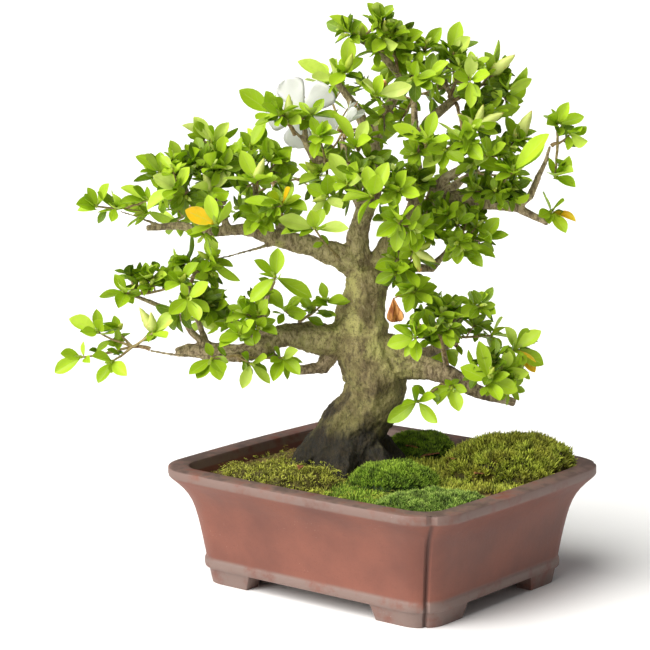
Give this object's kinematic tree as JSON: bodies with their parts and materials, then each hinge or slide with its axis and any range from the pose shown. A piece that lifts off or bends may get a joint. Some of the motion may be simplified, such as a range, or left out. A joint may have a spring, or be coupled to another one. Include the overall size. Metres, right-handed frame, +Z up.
{
  "type": "satsuki azalea bonsai in a pot",
  "caption": "Flowering azalea bonsai with a leaning trunk, pads of leafy twigs, buds and white flowers, moss over soil, in a footed rectangular stoneware pot.",
  "frame": {"origin": "on the surface that the pot stands on, under the middle of the box round tree and pot", "axes": "+X along the long side of the pot, +Y along its short side, +Z up"},
  "size_m": [0.268, 0.2538, 0.3701],
  "materials": {
    "clay": "unglazed, satin",
    "soil": "matte",
    "screen": "matte",
    "moss": "matte",
    "bark": "matte",
    "leaf": "satin",
    "petal": "satin"
  },
  "bodies": {
    "root": {"bloom_half": "petal", "bloom_open": "petal", "drain_screen_a": "screen", "drain_screen_b": "screen", "moss_cushion_right": "moss", "moss_dome_front": "moss", "moss_frosted_corner": "moss", "moss_strands_left": "moss", "moss_tuft_back": "moss", "pot": "clay", "soil": "soil", "spray_apex": "leaf", "spray_back_apex": "leaf", "spray_back_crown": "leaf", "spray_back_left": "leaf", "spray_back_left_tip": "leaf", "spray_back_low_left": "leaf", "spray_back_pad": "leaf", "spray_back_right": "leaf", "spray_branch_fork": "leaf", "spray_cloud_left": "leaf", "spray_cloud_mid": "leaf", "spray_cloud_top": "leaf", "spray_crown_back_right": "leaf", "spray_crown_front": "leaf", "spray_crown_left": "leaf", "spray_crown_mid": "leaf", "spray_crown_right": "leaf", "spray_flower_branch": "leaf", "spray_heart_front": "leaf", "spray_heart_left": "leaf", "spray_heart_low": "leaf", "spray_heart_mid": "leaf", "spray_inner_left": "leaf", "spray_left_crest": "leaf", "spray_left_front": "leaf", "spray_left_heart": "leaf", "spray_left_shoulder": "leaf", "spray_left_tip": "leaf", "spray_left_top": "leaf", "spray_low_front": "leaf", "spray_low_inner": "leaf", "spray_low_mid": "leaf", "spray_low_tip": "leaf", "spray_low_under": "leaf", "spray_pad_left": "leaf", "spray_pad_right": "leaf", "spray_pad_under": "leaf", "spray_right_big": "leaf", "spray_right_bud": "leaf", "spray_right_inner": "leaf", "spray_right_low": "leaf", "spray_right_mid": "leaf", "spray_right_stub": "leaf", "spray_right_tip": "leaf", "spray_right_yellow": "leaf", "spray_waist_front": "leaf", "spray_yellow_low": "leaf", "trunk_and_branches": "bark"}
  },
  "joints": []
}
